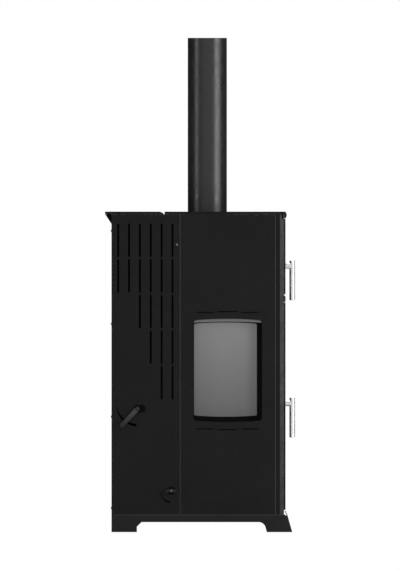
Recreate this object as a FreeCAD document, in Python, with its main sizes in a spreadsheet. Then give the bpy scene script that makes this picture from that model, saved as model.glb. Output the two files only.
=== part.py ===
import FreeCAD, Part
import math
import os

import Sketcher

# A free-standing wood burning stove: steel casing, fire chamber with side windows, oven above it and an air
# chamber behind. The frame is in millimetres: X across with the doors' handles towards -X, Y back, Z up.
# The origin is on the floor, on the casing's middle plane, midway between the handles' fronts and the
# rear edge of the top.

doc = FreeCAD.newDocument("WoodStove")
sheet = doc.addObject("Spreadsheet::Sheet", "Sizes")
nodes = []


class Size:
    """A length: its value in millimetres, and the formula that ties it to the sheet."""

    def __init__(self, value, formula):
        self.value = value
        self.formula = formula

    def __add__(self, other):
        return Size(self.value + number(other), f"({self.formula} + {formula(other)})")

    def __radd__(self, other):
        return Size(number(other) + self.value, f"({formula(other)} + {self.formula})")

    def __sub__(self, other):
        return Size(self.value - number(other), f"({self.formula} - {formula(other)})")

    def __rsub__(self, other):
        return Size(number(other) - self.value, f"({formula(other)} - {self.formula})")

    def __mul__(self, other):
        return Size(self.value * number(other), f"({self.formula} * {formula(other)})")

    def __rmul__(self, other):
        return Size(number(other) * self.value, f"({formula(other)} * {self.formula})")

    def __truediv__(self, other):
        return Size(self.value / number(other), f"({self.formula} / {formula(other)})")

    def __neg__(self):
        return Size(-self.value, f"(0 - {self.formula})")


def number(size):
    return size.value if isinstance(size, Size) else float(size)


def formula(size):
    return size.formula if isinstance(size, Size) else f"({float(size)})"


def driving(name, value):
    """Add one driving size to the sheet and return it."""
    row = driving.row = getattr(driving, "row", 0) + 1
    sheet.set(f"A{row}", name)
    sheet.set(f"B{row}", str(value))
    sheet.setAlias(f"B{row}", name)
    return Size(float(value), f"Sizes.{name}")


# Driving sizes ------------------------------------------------------------------------------------
casing_width = driving("casing_width", 480)
casing_rear = driving("casing_rear", 276.2)
casing_front = driving("casing_front", 237)
sheet_gauge = driving("sheet_gauge", 2)
fold = driving("fold", 12)
gap = driving("gap", 0.5)
top_height = driving("top_height", 1000)
top_gauge = driving("top_gauge", 8.2)
rear_lip = driving("rear_lip", 296.4)
lip_rise = driving("lip_rise", 30)
nose_drop = driving("nose_drop", 21.5)
nose_front = driving("nose_front", 266)
nose_bulge = driving("nose_bulge", 4.5)
lid_front = driving("lid_front", 113.9)
lid_bevel = driving("lid_bevel", 10.9)
lid_bevel_drop = driving("lid_bevel_drop", 5.3)
plate_rear = driving("plate_rear", 110.4)
plinth_height = driving("plinth_height", 52)
plinth_gauge = driving("plinth_gauge", 3)
arch_height = driving("arch_height", 31.2)
foot_reach = driving("foot_reach", 288)
seam_middle = driving("seam_middle", 62.4)
seam_width = driving("seam_width", 6)
slot_width = driving("slot_width", 6)
slot_length = driving("slot_length", 103)
slot_top = driving("slot_top", 962)
slot_row_pitch = driving("slot_row_pitch", 111.1)
slot_column = driving("slot_column", 85.8)
slot_column_pitch = driving("slot_column_pitch", 33.9)
corner_depth = driving("corner_depth", 25)
bevel_start = driving("bevel_start", 12.6)
frame_gauge = driving("frame_gauge", 6.6)
frame_half = driving("frame_half", 229.5)
door_half = driving("door_half", 223)
door_back = driving("door_back", 249.6)
door_gauge = driving("door_gauge", 12.4)
glass_gauge = driving("glass_gauge", 4.8)
opening_half = driving("opening_half", 172)
seal_half = driving("seal_half", 186)
seal_width = driving("seal_width", 10)
seal_gauge = driving("seal_gauge", 5.6)
seal_inset = driving("seal_inset", 12)
fire_door_low = driving("fire_door_low", 69)
fire_door_high = driving("fire_door_high", 717)
oven_door_low = driving("oven_door_low", 741)
oven_door_high = driving("oven_door_high", 978)
hinge_side = driving("hinge_side", 216)
hinge_front = driving("hinge_front", 256)
pin_radius = driving("pin_radius", 4)
running_gap = driving("running_gap", 0.06)
handle_side = driving("handle_side", 203)
handle_front = driving("handle_front", 296.4)
handle_diameter = driving("handle_diameter", 17.5)
handle_length = driving("handle_length", 124)
spindle_drop = driving("spindle_drop", 17)
spindle_radius = driving("spindle_radius", 6)
fire_handle_high = driving("fire_handle_high", 419.3)
oven_handle_high = driving("oven_handle_high", 847.4)
wall_half = driving("wall_half", 205)
wall_gauge = driving("wall_gauge", 4)
chamber_rear = driving("chamber_rear", 50)
chamber_low = driving("chamber_low", 91)
chamber_high = driving("chamber_high", 979)
hearth_height = driving("hearth_height", 209)
brick_gauge = driving("brick_gauge", 30)
window_front = driving("window_front", 193.4)
window_rear = driving("window_rear", 21.2)
window_low = driving("window_low", 343.5)
window_high = driving("window_high", 665.5)
window_arch = driving("window_arch", 5)
pane_front = driving("pane_front", 177.2)
pane_rear = driving("pane_rear", 18.7)
pane_low = driving("pane_low", 360)
pane_high = driving("pane_high", 654.3)
pane_gauge = driving("pane_gauge", 4)
window_frame_gauge = driving("window_frame_gauge", 7)
oven_wall = driving("oven_wall", 4)
oven_rear = driving("oven_rear", 9)
flue_centre = driving("flue_centre", 22.8)
flue_radius = driving("flue_radius", 61)
flue_gauge = driving("flue_gauge", 2)
flue_top = driving("flue_top", 1542)
lever_back = driving("lever_back", 195.3)
lever_height = driving("lever_height", 385)
lever_length = driving("lever_length", 78)
lever_width = driving("lever_width", 14)
lever_rest = driving("lever_rest", -47.3)
knob_back = driving("knob_back", 89.9)
knob_height = driving("knob_height", 128.9)
duct_radius = driving("duct_radius", 30)
duct_gauge = driving("duct_gauge", 2)
secondary_height = driving("secondary_height", 620)
plenum_half = driving("plenum_half", 70)
plenum_front = driving("plenum_front", 150)
plenum_low = driving("plenum_low", 76)
plenum_high = driving("plenum_high", 190)
inlet_height = driving("inlet_height", 133)
inlet_radius = driving("inlet_radius", 50.5)
doc.recompute()

half_width = casing_width / 2
panel_top = top_height - top_gauge - 0.3
base_top = plinth_height + plinth_gauge
door_front = door_back + door_gauge
face_front = door_front + glass_gauge
frame_face = casing_front + frame_gauge


# Helpers ------------------------------------------------------------------------------------------
def bind(thing, name, size):
    """Set a property, tied to the sheet where the size comes from it."""
    if isinstance(size, Size):
        thing.setExpression(name, size.formula)
    else:
        target = thing
        *path, last = name.split(".")
        if path:
            base = thing.Placement.Base
            setattr(base, last, size)
            thing.Placement = FreeCAD.Placement(base, thing.Placement.Rotation)
        else:
            setattr(target, last, size)


def place(thing, x, y, z, turn=None):
    """Put a thing at a point, turned first if it has to be."""
    thing.Placement = FreeCAD.Placement(
        FreeCAD.Vector(number(x), number(y), number(z)), turn or FreeCAD.Rotation()
    )
    for axis, size in zip("xyz", (x, y, z)):
        if isinstance(size, Size):
            bind(thing, f"Placement.Base.{axis}", size)
    return thing


def keep(thing, label=None):
    """Name a finished sub-part: its label is its file's name."""
    if label:
        thing.Label = label
    nodes.append(thing)
    return thing


def new_body(label):
    body = doc.addObject("PartDesign::Body", "Body")
    body.Label = label
    return body


def new_sketch(body, plane):
    """A sketch on one of the body's own origin planes: XY, XZ or YZ."""
    sketch = body.newObject("Sketcher::SketchObject", "Sketch")
    role = f"{plane}_Plane"
    support = next(item for item in body.Origin.OriginFeatures if item.Role == role)
    sketch.AttachmentSupport = [(support, "")]
    sketch.MapMode = "FlatFace"
    return sketch


def pin_along(sketch, edge, end, kind, axis_line, size):
    """Hold one end of an edge at its distance from the sketch's origin, across or up."""
    if number(size) == 0:
        sketch.addConstraint(Sketcher.Constraint("PointOnObject", edge, end, axis_line))
        return
    index = sketch.addConstraint(Sketcher.Constraint(kind, -1, 1, edge, end, number(size)))
    if isinstance(size, Size):
        sketch.setExpression(f"Constraints[{index}]", size.formula)


def pin_point(sketch, edge, end, u, v):
    pin_along(sketch, edge, end, "DistanceX", -2, u)
    pin_along(sketch, edge, end, "DistanceY", -1, v)


def add_outline(sketch, points, radii=None):
    """Draw a closed outline. radii maps an edge's number to its arc's radius, negative for a right bend."""
    radii = radii or {}
    corners = [FreeCAD.Vector(number(u), number(v), 0) for u, v in points]
    first = sketch.GeometryCount
    starts = []
    for i, start in enumerate(corners):
        end = corners[(i + 1) % len(corners)]
        edge = first + i
        if i not in radii:
            sketch.addGeometry(Part.LineSegment(start, end))
            starts.append((1, 2))
            continue
        chord = end - start
        radius = abs(number(radii[i]))
        rise = radius - math.sqrt(max(radius**2 - chord.Length**2 / 4, 0))
        left = FreeCAD.Vector(-chord.y, chord.x, 0).normalize()
        side = 1 if number(radii[i]) > 0 else -1
        sketch.addGeometry(Part.Arc(start, (start + end) / 2 + left * rise * side, end))
        starts.append((1, 2) if (sketch.getPoint(edge, 1) - start).Length < 0.01 else (2, 1))
        is_half = abs(chord.Length - 2 * radius) < 0.01
        if is_half:
            # the middle of an upright half circle stands on its chord
            pin_along(sketch, edge, 3, "DistanceX", -2, points[i][0])
            continue
        bend = sketch.addConstraint(Sketcher.Constraint("Radius", edge, radius))
        if isinstance(radii[i], Size):
            text = radii[i].formula if side > 0 else (-radii[i]).formula
            sketch.setExpression(f"Constraints[{bend}]", text)
    for i, (u, v) in enumerate(points):
        before = first + (i - 1) % len(points)
        sketch.addConstraint(
            Sketcher.Constraint("Coincident", before, starts[i - 1][1], first + i, starts[i][0])
        )
        pin_point(sketch, first + i, starts[i][0], u, v)


def add_circle(sketch, u, v, radius):
    edge = sketch.addGeometry(
        Part.Circle(FreeCAD.Vector(number(u), number(v), 0), FreeCAD.Vector(0, 0, 1), number(radius))
    )
    pin_point(sketch, edge, 3, u, v)
    index = sketch.addConstraint(Sketcher.Constraint("Radius", edge, number(radius)))
    if isinstance(radius, Size):
        sketch.setExpression(f"Constraints[{index}]", radius.formula)


def draw(sketch, shapes):
    """Draw shapes, each ("outline", points, radii) or ("circle", u, v, radius)."""
    for kind, *values in shapes:
        if kind == "circle":
            add_circle(sketch, *values)
        else:
            add_outline(sketch, *values)


def pad(body, sketch, length, both_ways=False):
    feature = body.newObject("PartDesign::Pad", "Pad")
    feature.Profile = sketch
    feature.Midplane = both_ways
    bind(feature, "Length", length)
    return feature


def pocket_through(body, plane, shapes):
    """Cut shapes through the whole body, both ways from the plane, and see that something went."""
    doc.recompute()
    before = body.Shape.Volume
    sketch = new_sketch(body, plane)
    draw(sketch, shapes)
    feature = body.newObject("PartDesign::Pocket", "Pocket")
    feature.Profile = sketch
    feature.Type = "ThroughAll"
    feature.Midplane = True
    doc.recompute()
    if body.Shape.Volume > before - 0.1:
        raise ValueError(f"{body.Label}: a pocket cut nothing")
    return feature


def fillet(body, radius, chosen):
    """Round the body's edges that the test chooses by middle point and direction."""
    doc.recompute()
    tip = body.Tip
    names = []
    for i, edge in enumerate(tip.Shape.Edges, 1):
        middle = edge.valueAt((edge.FirstParameter + edge.LastParameter) / 2)
        along = edge.tangentAt((edge.FirstParameter + edge.LastParameter) / 2)
        if isinstance(edge.Curve, Part.Line) and chosen(middle, along, edge.Length):
            names.append(f"Edge{i}")
    if not names:
        raise ValueError(f"{body.Label}: no edge to round")
    feature = body.newObject("PartDesign::Fillet", "Fillet")
    feature.Base = (tip, names)
    bind(feature, "Radius", radius)
    doc.recompute()
    if "Invalid" in feature.State:
        raise ValueError(f"{body.Label}: its edges can't be rounded")
    return feature


def rectangle(u0, u1, v0, v1):
    return ("outline", [(u0, v0), (u1, v0), (u1, v1), (u0, v1)])


def arched(u0, u1, v0, v1, rise):
    """A rectangle whose bottom and top bow out by the rise; v0 and v1 are the heights at mid-width."""
    chord = u1 - u0
    radius = (chord * chord / 4 + rise * rise) / (rise * 2)
    points = [(u0, v0 + rise), (u1, v0 + rise), (u1, v1 - rise), (u0, v1 - rise)]
    return ("outline", points, {0: -radius, 2: -radius})


def plate(label, plane, start, thickness, *shapes):
    """A flat piece: shapes on a plane, the first its outline and the rest its holes, thickened from start."""
    body = new_body(label)
    sketch = new_sketch(body, plane)
    draw(sketch, shapes)
    pad(body, sketch, thickness)
    base = {"XY": (0, 0, start), "YZ": (start, 0, 0), "XZ": (0, start + thickness, 0)}[plane]
    return place(body, *base)


def box(label, x0, x1, y0, y1, z0, z1):
    solid = doc.addObject("Part::Box", "Box")
    solid.Label = label
    bind(solid, "Length", x1 - x0)
    bind(solid, "Width", y1 - y0)
    bind(solid, "Height", z1 - z0)
    return place(solid, x0, y0, z0)


TURNS = {
    "x": FreeCAD.Rotation(FreeCAD.Vector(0, 1, 0), 90),
    "y": FreeCAD.Rotation(FreeCAD.Vector(1, 0, 0), -90),
    "z": FreeCAD.Rotation(),
}


def rod(label, axis, x, y, z, radius, length):
    """A cylinder from a point along +x, +y or +z."""
    solid = doc.addObject("Part::Cylinder", "Cylinder")
    solid.Label = label
    bind(solid, "Radius", radius)
    bind(solid, "Height", length)
    return place(solid, x, y, z, TURNS[axis])


def turned(label, axis, x, y, z, profile):
    """A lathe piece: a profile of (radius, distance) points turned about an axis from a point."""
    body = new_body(label)
    sketch = new_sketch(body, "XZ")
    add_outline(sketch, profile)
    feature = body.newObject("PartDesign::Revolution", "Revolution")
    feature.Profile = sketch
    feature.ReferenceAxis = (sketch, ["V_Axis"])
    feature.Angle = 360
    return place(body, x, y, z, TURNS[axis])


def fuse(label, *parts):
    whole = doc.addObject("Part::MultiFuse", "Fusion")
    whole.Label = label
    whole.Shapes = list(parts)
    return whole


def cut(label, base, *tools):
    tool = tools[0] if len(tools) == 1 else fuse(f"{label} tools", *tools)
    rest = doc.addObject("Part::Cut", "Cut")
    rest.Label = label
    rest.Base = base
    rest.Tool = tool
    return rest


def group(label, *parts):
    """Like pieces that share one node, as separate solids."""
    whole = doc.addObject("Part::Compound", "Group")
    whole.Label = label
    whole.Links = list(parts)
    return keep(whole)


SIDES = (("left", -1), ("right", 1))


def side_plate(label, sign, outer, thickness, *shapes):
    """A plate across X whose outer face is at outer, on the side that sign says."""
    start = -outer if sign < 0 else outer - thickness
    return plate(label, "YZ", start, thickness, *shapes)


# Plinth -------------------------------------------------------------------------------------------
def build_plinth():
    """Bracket-foot plinth: arched sides, a sloping front, a back, the base plate and four levelling feet."""
    step = 14.4
    slope = (foot_reach - 272.4) / 55
    front_top = -(foot_reach - slope * plinth_height)
    outline = [
        (casing_rear, 0),
        (casing_rear, plinth_height),
        (front_top, plinth_height),
        (-foot_reach, 0),
        (-(foot_reach - 79.6), 0),
        (-(foot_reach - 84.6), arch_height - 13),
        (-(foot_reach - 102.4), arch_height),
        (casing_rear - 79.3 - step, arch_height),
        (casing_rear - 79.3, arch_height - step),
        (casing_rear - 79.3, 0),
    ]
    arc = {5: 24}
    flanks = [
        side_plate(f"{side} plinth flank", sign, half_width, plinth_gauge, ("outline", outline, arc))
        for side, sign in SIDES
    ]
    group("plinth_sides", *flanks)

    inner_half = half_width - plinth_gauge - 0.2
    lip = 66.5
    skin = plinth_gauge
    profile = [
        (-foot_reach, 0),
        (-(foot_reach - slope * 55), 55),
        (-face_front, lip),
        (-face_front + skin, lip),
        (-(foot_reach - slope * 55) + skin, 55),
        (-foot_reach + skin, 0),
    ]
    front = new_body("plinth_front blank")
    sketch = new_sketch(front, "YZ")
    add_outline(sketch, profile)
    pad(front, sketch, inner_half * 2, both_ways=True)
    half_arch = inner_half - 80
    arch = [
        (-half_arch, -1),
        (-half_arch, arch_height - step),
        (-half_arch + step, arch_height),
        (half_arch - step, arch_height),
        (half_arch, arch_height - step),
        (half_arch, -1),
    ]
    opening = plate("front arch", "XZ", -foot_reach - 5, 60, ("outline", arch))
    keep(cut("plinth_front", front, opening))

    back = [(-inner_half, 0)] + [(u, v if number(v) > 0 else 0) for u, v in arch] + [(inner_half, 0)]
    back += [(inner_half, plinth_height), (-inner_half, plinth_height)]
    keep(plate("plinth_rear", "XZ", casing_rear - plinth_gauge, plinth_gauge, ("outline", back)))

    foot_x = half_width - 40
    foot_y = ((-225, "front"), (236, "rear"))
    holes = [("circle", sign * foot_x, y, 5.4) for sign in (-1, 1) for y, _ in foot_y]
    vents = [rectangle(-110, 110, y - 4, y + 4) for y in range(90, 150, 20)]
    outline = rectangle(-(half_width - 0.2), half_width - 0.2, -(face_front - 0.4), casing_rear)
    keep(plate("base_plate", "XY", plinth_height, plinth_gauge, outline, *holes, *vents))
    profile = [
        (0, 0),
        (15, 0),
        (15, 4),
        (7, 8),
        (5, 8),
        (5, 44),
        (9, 44),
        (9, 52),
        (5, 52),
        (5, 66),
        (0, 66),
    ]
    feet = [
        turned(f"levelling foot {sign} {name}", "z", sign * foot_x, y, 0, profile)
        for sign in (-1, 1)
        for y, name in foot_y
    ]
    group("levelling_feet", *feet)


# Casing -------------------------------------------------------------------------------------------
def folded_panel(label, sign, front, rear, folds):
    """A side panel with its vertical edges folded inwards: front, rear, or both."""
    outer = half_width * sign
    inner = (half_width - sheet_gauge) * sign
    folded = (half_width - fold) * sign
    points = [(outer, front), (outer, rear)]
    if "rear" in folds:
        points += [(folded, rear), (folded, rear - sheet_gauge), (inner, rear - sheet_gauge)]
    else:
        points += [(inner, rear)]
    if "front" in folds:
        points += [(inner, front + sheet_gauge), (folded, front + sheet_gauge), (folded, front)]
    else:
        points += [(inner, front)]
    body = new_body(label)
    sketch = new_sketch(body, "XY")
    add_outline(sketch, points)
    pad(body, sketch, panel_top - base_top)
    place(body, 0, 0, base_top)
    return body


def in_body(shapes, drop):
    """Shapes given at their true heights, lowered into a body that starts at the height drop."""
    lowered = []
    for kind, *values in shapes:
        if kind == "circle":
            u, v, radius = values
            lowered.append((kind, u, v - drop, radius))
        else:
            points, *rest = values
            lowered.append((kind, [(u, v - drop) for u, v in points], *rest))
    return lowered


def vent_slots():
    """Six columns of slots below the lid, each column a row shorter towards the back."""
    slots = []
    for column in range(6):
        rows = min(5, max(2, 6 - column))
        middle = slot_column + slot_column_pitch * column
        for row in range(rows):
            high = slot_top - slot_row_pitch * row
            slots.append(
                rectangle(middle - slot_width / 2, middle + slot_width / 2, high - slot_length, high),
            )
    return slots


def scale_mark(y, z, reach, thin, thick):
    """A quarter-circle mark that widens from the rear side of a pivot to below it."""
    points = [(y + reach, z - 2), (y + reach - thin, z - 2), (y + 3, z - reach + thick), (y + 3, z - reach)]
    return ("outline", points, {1: reach - 2, 3: -reach})


def build_panels():
    seam_front = seam_middle - seam_width / 2
    seam_rear = seam_middle + seam_width / 2
    window = arched(-window_front, window_rear, window_low, window_high, window_arch)
    middle = (window_rear - window_front) / 2
    dashes = []
    dash_height = 3
    for v, bow in ((window_low - 21.5, -2.5), (window_high + 20, 2.5)):
        for u0, u1, rise in ((-98, -43, 0), (-31, 31.5, bow), (43, 97, 0)):
            low = v + rise - dash_height / 2
            dashes.append(rectangle(middle + u0, middle + u1, low, low + dash_height))
    screw = ("circle", seam_rear + 6.4, 897, 2.2)
    lever_cuts = [
        ("circle", lever_back, lever_height, 6.8),
        ("circle", knob_back, knob_height, 5.8),
        scale_mark(lever_back, lever_height + 10, 65, 1.5, 8),
        scale_mark(knob_back, knob_height - 5, 33, 2, 5),
    ]
    for side, sign in SIDES:
        front = folded_panel(f"{side}_front_panel", sign, -casing_front, seam_front, ("front", "rear"))
        pocket_through(front, "YZ", in_body([window, *dashes], base_top))
        corner = [
            (u, v)
            for u in (-window_front, window_rear)
            for v in (window_low + window_arch - base_top, window_high - window_arch - base_top)
        ]
        fillet(
            front,
            12,
            lambda p, along, length: abs(along.x) > 0.99
            and any(abs(p.y - number(u)) < 1 and abs(p.z - number(v)) < 1 for u, v in corner),
        )
        round_folds(front, sign)
        keep(front)
        rear = folded_panel(f"{side}_rear_panel", sign, seam_rear, casing_rear, ("front",))
        cuts = [*vent_slots(), screw] + (lever_cuts if side == "left" else [])
        pocket_through(rear, "YZ", in_body(cuts, base_top))
        round_folds(rear, sign)
        keep(rear)

    # Each strip is a T: its web stands between the folded edges, and its flange covers them from inside.
    proud = half_width + 0.7
    flange_outer = half_width - fold - 0.3
    flange_inner = flange_outer - 1.5
    flange_reach = 6
    strips = []
    for side, sign in SIDES:
        strip = new_body(f"{side} seam strip")
        sketch = new_sketch(strip, "XY")
        points = [
            (flange_inner * sign, seam_front - flange_reach),
            (flange_outer * sign, seam_front - flange_reach),
            (flange_outer * sign, seam_front + 0.1),
            ((proud - 1) * sign, seam_front + 0.1),
            (proud * sign, seam_front + 1.8),
            (proud * sign, seam_rear - 1.8),
            ((proud - 1) * sign, seam_rear - 0.1),
            (flange_outer * sign, seam_rear - 0.1),
            (flange_outer * sign, seam_rear + flange_reach),
            (flange_inner * sign, seam_rear + flange_reach),
        ]
        add_outline(sketch, points)
        pad(strip, sketch, panel_top - base_top)
        strips.append(place(strip, 0, 0, base_top))
    group("seam_strips", *strips)


def round_folds(body, sign):
    """Round the outer vertical edges where a panel is folded."""
    outer = number(half_width) * sign
    fillet(
        body,
        1.8,
        lambda p, along, length: abs(along.z) > 0.99
        and abs(p.x - outer) < 0.01
        and length > 900
        and p.y < 70,
    )


def build_shields():
    """The rear chamber's inner walls, which leave the slots a narrow passage for the air."""
    low = plenum_high + 50
    shields = [
        side_plate(
            f"{side} rear shield",
            sign,
            wall_half + 1.5,
            1.5,
            rectangle(seam_middle + 5, casing_rear - 6, low, top_height - 14),
            ("circle", lever_back, lever_height, 8),
        )
        for side, sign in SIDES
    ]
    group("rear_shields", *shields)


def build_back():
    """The back panel, flared out under the rear lip, with low vents and the air inlet's hole."""
    skin = 2.5
    knee = panel_top - lip_rise
    profile = [
        (casing_rear - skin, base_top),
        (casing_rear, base_top),
        (casing_rear, knee),
        (rear_lip - 0.4, panel_top),
        (rear_lip - 3.9, panel_top),
        (casing_rear - skin, knee + 1),
    ]
    back = new_body("back_panel")
    sketch = new_sketch(back, "YZ")
    add_outline(sketch, profile)
    pad(back, sketch, (half_width - sheet_gauge - 0.2) * 2, both_ways=True)
    vents = [rectangle(x - 3, x + 3, 270, 390) for x in range(-150, 151, 30)]
    screws = [("circle", x, z, 2.2) for x in (-228, 228) for z in (75, 360, 650, 940)]
    pocket_through(back, "XZ", [("circle", 0, inlet_height, inlet_radius + 1.5), *vents, *screws])
    keep(back)

    head = [(0, 0), (2, 0), (2, 8), (4, 8), (3.4, 10), (0, 10)]
    screws = []
    for side, sign in SIDES:
        turn = FreeCAD.Rotation(FreeCAD.Vector(0, 1, 0), 90 * sign)
        screw = turned(f"{side} panel screw", "x", (half_width - 8) * sign, seam_middle + 9.4, 897, head)
        screw.Placement = FreeCAD.Placement(screw.Placement.Base, turn)
        screws.append(screw)
    for x in (-228, 228):
        for z in (75, 360, 650, 940):
            screws.append(turned(f"back screw {x} {z}", "y", x, casing_rear - 8, z, head))
    group("panel_screws", *screws)


def build_top():
    """Cast top: the front plate with its rounded nose, the lid, and the cap with its overhanging lip."""
    low = top_height - top_gauge
    radius = (nose_drop * nose_drop / 4 + nose_bulge * nose_bulge) / (nose_bulge * 2)
    profile = [
        (plate_rear, low),
        (plate_rear, top_height),
        (-nose_front, top_height),
        (-nose_front, top_height - nose_drop),
        (-(nose_front - 3.6), top_height - nose_drop),
        (-(nose_front - 3.6), low),
    ]
    top = new_body("top_plate")
    sketch = new_sketch(top, "YZ")
    add_outline(sketch, profile, {2: -radius})
    pad(top, sketch, casing_width, both_ways=True)
    pocket_through(top, "XY", [("circle", 0, -flue_centre, flue_radius + 2.5)])
    keep(top)

    axis_height = top_height - top_gauge / 2
    axis_back = lid_axis()
    profile = [
        (lid_front, low),
        (lid_front, top_height - lid_bevel_drop),
        (lid_front + lid_bevel, top_height),
        (axis_back, top_height),
        (axis_back, low),
    ]
    lid = new_body("rear lid blank")
    sketch = new_sketch(lid, "YZ")
    add_outline(sketch, profile, {3: top_gauge / -2})
    pad(lid, sketch, casing_width - 0.4, both_ways=True)
    notch = 3.6
    notches = [
        rectangle(sign * 150 - notch, sign * 150 + notch, axis_back - 4.9, axis_back + 6) for sign in (-1, 1)
    ]
    pocket_through(lid, "XY", notches)
    holes = [
        rod(
            f"lid pin hole {sign}",
            "x",
            sign * 150 - 14,
            axis_back,
            axis_height,
            2.06,
            28,
        ) for sign in (-1, 1)
    ]
    keep(cut("rear_lid", lid, *holes))

    hinges = []
    for sign in (-1, 1):
        eye = rod(f"hinge eye {sign}", "x", sign * 150 - 3, axis_back, axis_height, 3.7, 6)
        neck = box(
            f"hinge neck {sign}",
            sign * 150 - 3,
            sign * 150 + 3,
            axis_back - 3.7,
            axis_back + 3.7,
            972,
            axis_height,
        )
        arm = box(
            f"hinge arm {sign}", sign * 150 - 3, sign * 150 + 3, axis_back - 3.7, casing_rear - 2.5, 960, 980
        )
        pin = rod(f"hinge pin {sign}", "x", sign * 150 - 13, axis_back, axis_height, 2, 26)
        hinges.append(fuse(f"lid hinge {sign}", eye, neck, arm, pin))
    group("lid_hinges", *hinges)

    cap = box(
        "cap slab", -half_width, half_width, axis_back + top_gauge / 2 + 0.5, rear_lip, low, top_height
    )
    ribs = []
    for sign in (-1, 1):
        rib = [
            (casing_rear + 0.2, low),
            (casing_rear + 0.2, low - lip_rise + 7),
            (rear_lip - 5.2, low),
        ]
        start = Size(sign * 150 - 1, f"{sign * 150 - 1}")
        ribs.append(plate(f"cap rib {sign}", "YZ", start, 2, ("outline", rib)))
    keep(fuse("rear_cap", cap, *ribs))


def lid_axis():
    return 254


# Front --------------------------------------------------------------------------------------------
def door_opening(low, high):
    """The hole behind a door, inside its seal."""
    inset = seal_inset + seal_width + 4
    return rectangle(-opening_half, opening_half, low + inset, high - inset)


def build_front():
    """The front frame and its openings, bevelled corners, rail between the doors, pins and keepers."""
    outline = rectangle(-frame_half, frame_half, base_top, panel_top)
    frame = plate(
        "front frame plate",
        "XZ",
        -frame_face,
        frame_gauge,
        outline,
        door_opening(fire_door_low, fire_door_high),
        door_opening(oven_door_low, oven_door_high),
    )
    keepers = [
        box(
            f"keeper {name}",
            -(handle_side + 18),
            -(handle_side + 10),
            -(frame_face + 5.4),
            -frame_face,
            high - spindle_drop + 7.6,
            high - spindle_drop + 15,
        )
        for name, high in (("fire", fire_handle_high), ("oven", oven_handle_high))
    ]
    keep(frame, "front_frame")
    group("latch_keepers", *keepers)

    corners = []
    for side, sign in SIDES:
        flank = half_width - 2
        points = [
            (frame_half * sign, -casing_front),
            (flank * sign, -casing_front),
            (flank * sign, -(casing_front + bevel_start)),
            ((frame_half + 2) * sign, -(casing_front + corner_depth)),
            (frame_half * sign, -(casing_front + corner_depth)),
        ]
        profile = new_body(f"{side} corner profile")
        sketch = new_sketch(profile, "XY")
        add_outline(sketch, points)
        pad(profile, sketch, panel_top - base_top)
        corners.append(place(profile, 0, 0, base_top))
    group("corner_profiles", *corners)

    rail_low = fire_door_high + 1
    rail_high = oven_door_low - 2.3
    profile = [
        (-frame_face, rail_low),
        (-face_front, rail_low),
        (-face_front, rail_high),
        (-frame_face, rail_high),
    ]
    rail = new_body("rail blank")
    sketch = new_sketch(rail, "YZ")
    add_outline(sketch, profile)
    pad(rail, sketch, (door_half - 2) * 2, both_ways=True)
    fillet(
        rail,
        5,
        lambda p, along, length: abs(along.x) > 0.99
        and abs(p.y + number(face_front)) < 0.01
        and p.z > number(rail_high) - 1,
    )
    pin_hole = rod("rail pin hole", "z", hinge_side, -hinge_front, rail_low - 5, pin_radius, 30)
    keep(cut("middle_rail", rail, pin_hole))

    reach = 20
    lower = fuse(
        "lower hinge",
        box(
            "lower hinge block",
            hinge_side - 9,
            frame_half,
            -(hinge_front + 6),
            -frame_face,
            base_top,
            fire_door_low - gap,
        ),
        rod(
            "lower hinge pin",
            "z",
            hinge_side,
            -hinge_front,
            base_top,
            pin_radius,
            fire_door_low + reach - base_top,
        ),
    )
    between = rod(
        "middle hinge pin",
        "z",
        hinge_side,
        -hinge_front,
        fire_door_high - reach,
        pin_radius,
        oven_door_low - fire_door_high + reach * 2,
    )
    upper = fuse(
        "upper hinge",
        box(
            "upper hinge block",
            hinge_side - 9,
            frame_half,
            -(hinge_front + 6),
            -frame_face,
            oven_door_high + gap,
            panel_top,
        ),
        rod(
            "upper hinge pin",
            "z",
            hinge_side,
            -hinge_front,
            oven_door_high - reach,
            pin_radius,
            panel_top - oven_door_high + reach,
        ),
    )
    group("door_hinges", lower, between, upper)


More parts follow.
